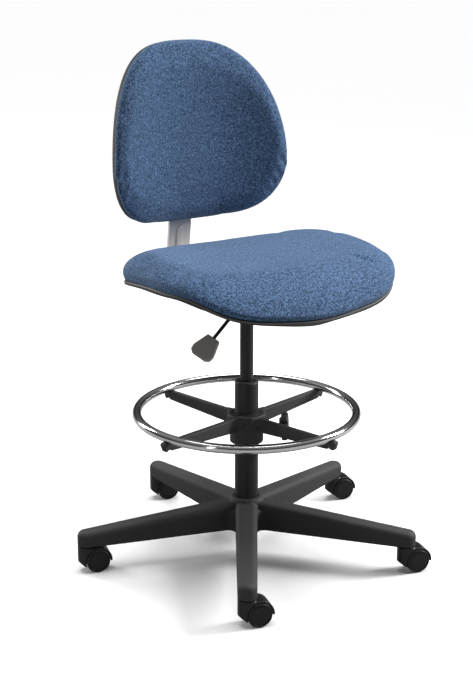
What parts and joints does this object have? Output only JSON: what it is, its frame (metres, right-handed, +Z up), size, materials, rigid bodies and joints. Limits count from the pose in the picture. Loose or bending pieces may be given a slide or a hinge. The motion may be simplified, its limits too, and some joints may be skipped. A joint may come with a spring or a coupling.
{
  "type": "drafting chair",
  "caption": "Drafting chair with a waterfall seat, contoured back on an adjustable bar, gas column, chrome foot ring and a five-arm base on twin-wheel casters.",
  "frame": {"origin": "the column's axis where it meets the floor", "axes": "+Z up, -Y towards the front of the seat, -X towards the sitter's right hand"},
  "size_m": [0.7371, 0.696, 1.0669],
  "materials": {
    "base_nylon": "fine-textured black glass-filled nylon",
    "caster_plastic": "satin black nylon",
    "wheel_plastic": "satin black nylon",
    "column_paint": "satin black powder coat",
    "tube_black": "black nitrided steel",
    "steel": "bright steel",
    "zinc": "zinc-plated steel",
    "chrome": "polished chrome",
    "black_steel": "black powder coat",
    "shell_plastic": "grained black polypropylene",
    "edge_trim": "dark grey vinyl edge band",
    "seat_fabric": "blue heather tweed weave",
    "plywood": "moulded beech plywood",
    "rubber": "black rubber",
    "guide_plastic": "black acetal",
    "paddle_plastic": "warm grey moulded plastic",
    "knob_plastic": "satin black plastic"
  },
  "bodies": {
    "base": {"star_base": "base_nylon", "caster_stems": "steel", "column_outer_tube": "column_paint", "column_guide_bush": "guide_plastic", "thrust_bearing": "steel"},
    "gas_rod": {"piston_rod": "steel", "rod_clip": "steel", "column_bumper": "rubber", "piston": "guide_plastic"},
    "seat": {"pressure_tube": "tube_black", "rod_guide": "guide_plastic", "seat_pan": "shell_plastic", "seat_trim": "edge_trim", "seat_board": "plywood", "seat_cushion": "seat_fabric", "seat_tee_nuts": "zinc", "seat_screws": "zinc", "mechanism_housing": "black_steel", "taper_socket": "black_steel", "depth_channel": "black_steel"},
    "release_button": {"release_button": "steel"},
    "release_lever": {"lever_rod": "tube_black", "lever_paddle": "paddle_plastic"},
    "back_carriage": {"back_bar": "zinc"},
    "depth_knob": {"depth_knob": "knob_plastic", "depth_stud": "zinc"},
    "backrest": {"back_bracket": "shell_plastic", "back_shell": "shell_plastic", "back_trim": "edge_trim", "back_cushion": "seat_fabric", "bracket_screws": "zinc"},
    "height_knob": {"height_knob": "knob_plastic", "height_stud": "zinc"},
    "ring_sleeve": {"foot_ring_sleeve": "guide_plastic"},
    "foot_ring": {"foot_ring_hub": "base_nylon", "foot_ring_tube": "chrome", "foot_ring_screws": "steel"},
    "ring_knob": {"foot_ring_knob": "knob_plastic", "foot_ring_stud": "zinc"},
    "caster_1": {"caster_hood_1": "caster_plastic", "caster_axle_1": "steel"},
    "wheel_left_1": {"caster_wheel_left_1": "wheel_plastic"},
    "wheel_right_1": {"caster_wheel_right_1": "wheel_plastic"},
    "caster_2": {"caster_hood_2": "caster_plastic", "caster_axle_2": "steel"},
    "wheel_left_2": {"caster_wheel_left_2": "wheel_plastic"},
    "wheel_right_2": {"caster_wheel_right_2": "wheel_plastic"},
    "caster_3": {"caster_hood_3": "caster_plastic", "caster_axle_3": "steel"},
    "wheel_left_3": {"caster_wheel_left_3": "wheel_plastic"},
    "wheel_right_3": {"caster_wheel_right_3": "wheel_plastic"},
    "caster_4": {"caster_hood_4": "caster_plastic", "caster_axle_4": "steel"},
    "wheel_left_4": {"caster_wheel_left_4": "wheel_plastic"},
    "wheel_right_4": {"caster_wheel_right_4": "wheel_plastic"},
    "caster_5": {"caster_hood_5": "caster_plastic", "caster_axle_5": "steel"},
    "wheel_left_5": {"caster_wheel_left_5": "wheel_plastic"},
    "wheel_right_5": {"caster_wheel_right_5": "wheel_plastic"}
  },
  "joints": [
    {"name": "seat_swivel", "type": "hinge", "parent": "base", "child": "gas_rod", "pos_m": [0, 0, 0.06], "axis": [0, 0, 1], "continuous": true},
    {"name": "seat_lift", "type": "slide", "parent": "gas_rod", "child": "seat", "axis": [0, 0, 1], "range_m": [-0.137, 0.117]},
    {"name": "release_lever", "type": "hinge", "parent": "seat", "child": "release_lever", "pos_m": [-0.045, -0.03, 0.547], "axis": [0, 1, 0], "range_deg": [0, 4.5], "stiffness_Nm_per_rad": 3, "springref_deg": -5.73},
    {"name": "release_button", "type": "slide", "parent": "seat", "child": "release_button", "axis": [0, 0, -1], "range_m": [0, 0.0037]},
    {"name": "back_depth", "type": "slide", "parent": "seat", "child": "back_carriage", "axis": [0, 1, 0], "range_m": [-0.02, 0.03]},
    {"name": "depth_knob_turn", "type": "hinge", "parent": "seat", "child": "depth_knob", "pos_m": [0, 0.106, 0.54], "axis": [0, 0, -1], "range_deg": [0, 180]},
    {"name": "back_height", "type": "slide", "parent": "back_carriage", "child": "backrest", "axis": [0, 0.0429, 0.9991], "range_m": [-0.03, 0.1]},
    {"name": "height_knob_turn", "type": "hinge", "parent": "backrest", "child": "height_knob", "pos_m": [0, 0.28813, 0.80303], "axis": [0, 0.9991, -0.0429], "range_deg": [0, 180]},
    {"name": "ring_height", "type": "slide", "parent": "base", "child": "ring_sleeve", "axis": [0, 0, 1], "range_m": [-0.115, 0.06]},
    {"name": "ring_turn", "type": "hinge", "parent": "ring_sleeve", "child": "foot_ring", "pos_m": [0, 0, 0.28], "axis": [0, 0, 1], "continuous": true},
    {"name": "ring_knob_turn", "type": "hinge", "parent": "foot_ring", "child": "ring_knob", "pos_m": [0.06311, -0.04052, 0.281], "axis": [0.8415, -0.5402, 0], "range_deg": [0, 180]},
    {"name": "caster_swivel_1", "type": "hinge", "parent": "base", "child": "caster_1", "pos_m": [-0.18908, -0.29453, 0.05], "axis": [0, 0, 1], "continuous": true},
    {"name": "wheel_left_roll_1", "type": "hinge", "parent": "caster_1", "child": "wheel_left_1", "pos_m": [-0.16969, -0.2994, 0.025], "axis": [0.2436, 0.9699, 0], "continuous": true},
    {"name": "wheel_right_roll_1", "type": "hinge", "parent": "caster_1", "child": "wheel_right_1", "pos_m": [-0.16969, -0.2994, 0.025], "axis": [0.2436, 0.9699, 0], "continuous": true},
    {"name": "caster_swivel_2", "type": "hinge", "parent": "base", "child": "caster_2", "pos_m": [0.22168, -0.27084, 0.05], "axis": [0, 0, 1], "continuous": true},
    {"name": "wheel_left_roll_2", "type": "hinge", "parent": "caster_2", "child": "wheel_left_2", "pos_m": [0.24108, -0.27572, 0.025], "axis": [0.2436, 0.9699, 0], "continuous": true},
    {"name": "wheel_right_roll_2", "type": "hinge", "parent": "caster_2", "child": "wheel_right_2", "pos_m": [0.24108, -0.27572, 0.025], "axis": [0.2436, 0.9699, 0], "continuous": true},
    {"name": "caster_swivel_3", "type": "hinge", "parent": "base", "child": "caster_3", "pos_m": [0.32609, 0.12714, 0.05], "axis": [0, 0, 1], "continuous": true},
    {"name": "wheel_left_roll_3", "type": "hinge", "parent": "caster_3", "child": "wheel_left_3", "pos_m": [0.34549, 0.12227, 0.025], "axis": [0.2436, 0.9699, 0], "continuous": true},
    {"name": "wheel_right_roll_3", "type": "hinge", "parent": "caster_3", "child": "wheel_right_3", "pos_m": [0.34549, 0.12227, 0.025], "axis": [0.2436, 0.9699, 0], "continuous": true},
    {"name": "caster_swivel_4", "type": "hinge", "parent": "base", "child": "caster_4", "pos_m": [-0.02015, 0.34942, 0.05], "axis": [0, 0, 1], "continuous": true},
    {"name": "wheel_left_roll_4", "type": "hinge", "parent": "caster_4", "child": "wheel_left_4", "pos_m": [-0.00075, 0.34455, 0.025], "axis": [0.2436, 0.9699, 0], "continuous": true},
    {"name": "wheel_right_roll_4", "type": "hinge", "parent": "caster_4", "child": "wheel_right_4", "pos_m": [-0.00075, 0.34455, 0.025], "axis": [0.2436, 0.9699, 0], "continuous": true},
    {"name": "caster_swivel_5", "type": "hinge", "parent": "base", "child": "caster_5", "pos_m": [-0.33854, 0.08882, 0.05], "axis": [0, 0, 1], "continuous": true},
    {"name": "wheel_left_roll_5", "type": "hinge", "parent": "caster_5", "child": "wheel_left_5", "pos_m": [-0.31915, 0.08394, 0.025], "axis": [0.2436, 0.9699, 0], "continuous": true},
    {"name": "wheel_right_roll_5", "type": "hinge", "parent": "caster_5", "child": "wheel_right_5", "pos_m": [-0.31915, 0.08394, 0.025], "axis": [0.2436, 0.9699, 0], "continuous": true}
  ],
  "couplings": [
    {"joint": "release_button", "follows": "release_lever", "m_per_rad": 0.045}
  ]
}
